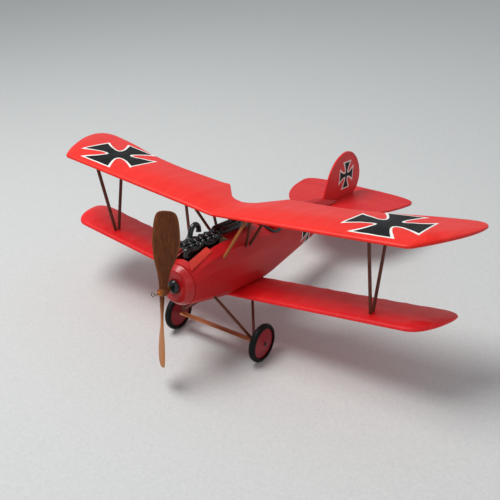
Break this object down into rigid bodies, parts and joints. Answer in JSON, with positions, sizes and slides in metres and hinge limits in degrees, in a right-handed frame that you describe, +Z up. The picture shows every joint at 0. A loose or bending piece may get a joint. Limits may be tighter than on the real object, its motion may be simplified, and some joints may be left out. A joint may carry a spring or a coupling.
{
  "type": "biplane scale model",
  "caption": "Balsa and tissue flying scale model of a V-strut biplane fighter, rubber powered, with a turning propeller and free-rolling wheels.",
  "frame": {"origin": "middle of the model's length and span, on the surface it stands on", "axes": "+X out along the port wing, +Y aft, +Z up, with the model standing on its two wheels and tail skid, thrust line 9.5 degrees nose up"},
  "size_m": [0.4444, 0.3786, 0.1687],
  "materials": {
    "red_tissue": "doped tissue, satin",
    "red_paint": "red enamel, semi-gloss",
    "balsa": "bare",
    "strut_wood": "dark stain, satin",
    "spreader_wood": "light stain, satin",
    "propeller_wood": "brown lacquer, satin",
    "black_plastic": "gloss black",
    "black_rubber": "satin black",
    "steel_wire": "drawn wire",
    "brass": "polished",
    "tan_rubber": "matt rubber strip"
  },
  "bodies": {
    "airframe": {"fuselage_covering": "red_tissue", "nose_former": "balsa", "firewall_former": "balsa", "wing_former": "balsa", "cockpit_former": "balsa", "rear_former": "balsa", "port_side_keel": "balsa", "starboard_side_keel": "balsa", "cockpit_coaming": "black_plastic", "cockpit_floor": "balsa", "nose_block": "red_paint", "nose_button": "black_plastic", "rubber_motor": "tan_rubber", "motor_peg": "strut_wood", "engine_bay_floor": "balsa", "engine_crankcase": "black_plastic", "front_cylinder_bank": "black_plastic", "rear_cylinder_bank": "black_plastic", "camshaft_cover": "black_plastic", "exhaust_manifold": "black_plastic", "port_cowl_cheek": "red_paint", "starboard_cowl_cheek": "red_paint", "port_machine_gun": "black_plastic", "starboard_machine_gun": "black_plastic", "upper_wing_frame": "balsa", "upper_wing_top_covering": "red_tissue", "upper_wing_bottom_covering": "red_tissue", "port_lower_wing_frame": "balsa", "port_lower_wing_top_covering": "red_tissue", "port_lower_wing_bottom_covering": "red_tissue", "starboard_lower_wing_frame": "balsa", "starboard_lower_wing_top_covering": "red_tissue", "starboard_lower_wing_bottom_covering": "red_tissue", "port_front_interplane_strut": "strut_wood", "port_rear_interplane_strut": "strut_wood", "port_front_cabane_strut": "strut_wood", "port_diagonal_cabane_strut": "strut_wood", "port_rear_cabane_strut": "strut_wood", "port_front_gear_strut": "strut_wood", "port_rear_gear_strut": "strut_wood", "starboard_front_interplane_strut": "strut_wood", "starboard_rear_interplane_strut": "strut_wood", "starboard_front_cabane_strut": "strut_wood", "starboard_diagonal_cabane_strut": "strut_wood", "starboard_rear_cabane_strut": "strut_wood", "starboard_front_gear_strut": "strut_wood", "starboard_rear_gear_strut": "strut_wood", "spreader_bar": "spreader_wood", "axle": "steel_wire", "tailplane": "red_tissue", "fin_and_rudder": "red_tissue", "ventral_fin": "red_tissue", "tail_skid": "strut_wood"},
    "propeller": {"propeller": "propeller_wood", "propeller_shaft": "steel_wire", "thrust_bead": "brass"},
    "port_wheel": {"port_tyre": "black_rubber", "port_wheel_disc": "red_paint"},
    "starboard_wheel": {"starboard_tyre": "black_rubber", "starboard_wheel_disc": "red_paint"}
  },
  "joints": [
    {"name": "propeller_spin", "type": "hinge", "parent": "airframe", "child": "propeller", "pos_m": [0, -0.17883, 0.09734], "axis": [0, 0.9863, -0.165], "continuous": true},
    {"name": "port_wheel_roll", "type": "hinge", "parent": "airframe", "child": "port_wheel", "pos_m": [0.0507, -0.10446, 0.01889], "axis": [1, 0, 0], "continuous": true},
    {"name": "starboard_wheel_roll", "type": "hinge", "parent": "airframe", "child": "starboard_wheel", "pos_m": [-0.0507, -0.10446, 0.01889], "axis": [1, 0, 0], "continuous": true}
  ]
}
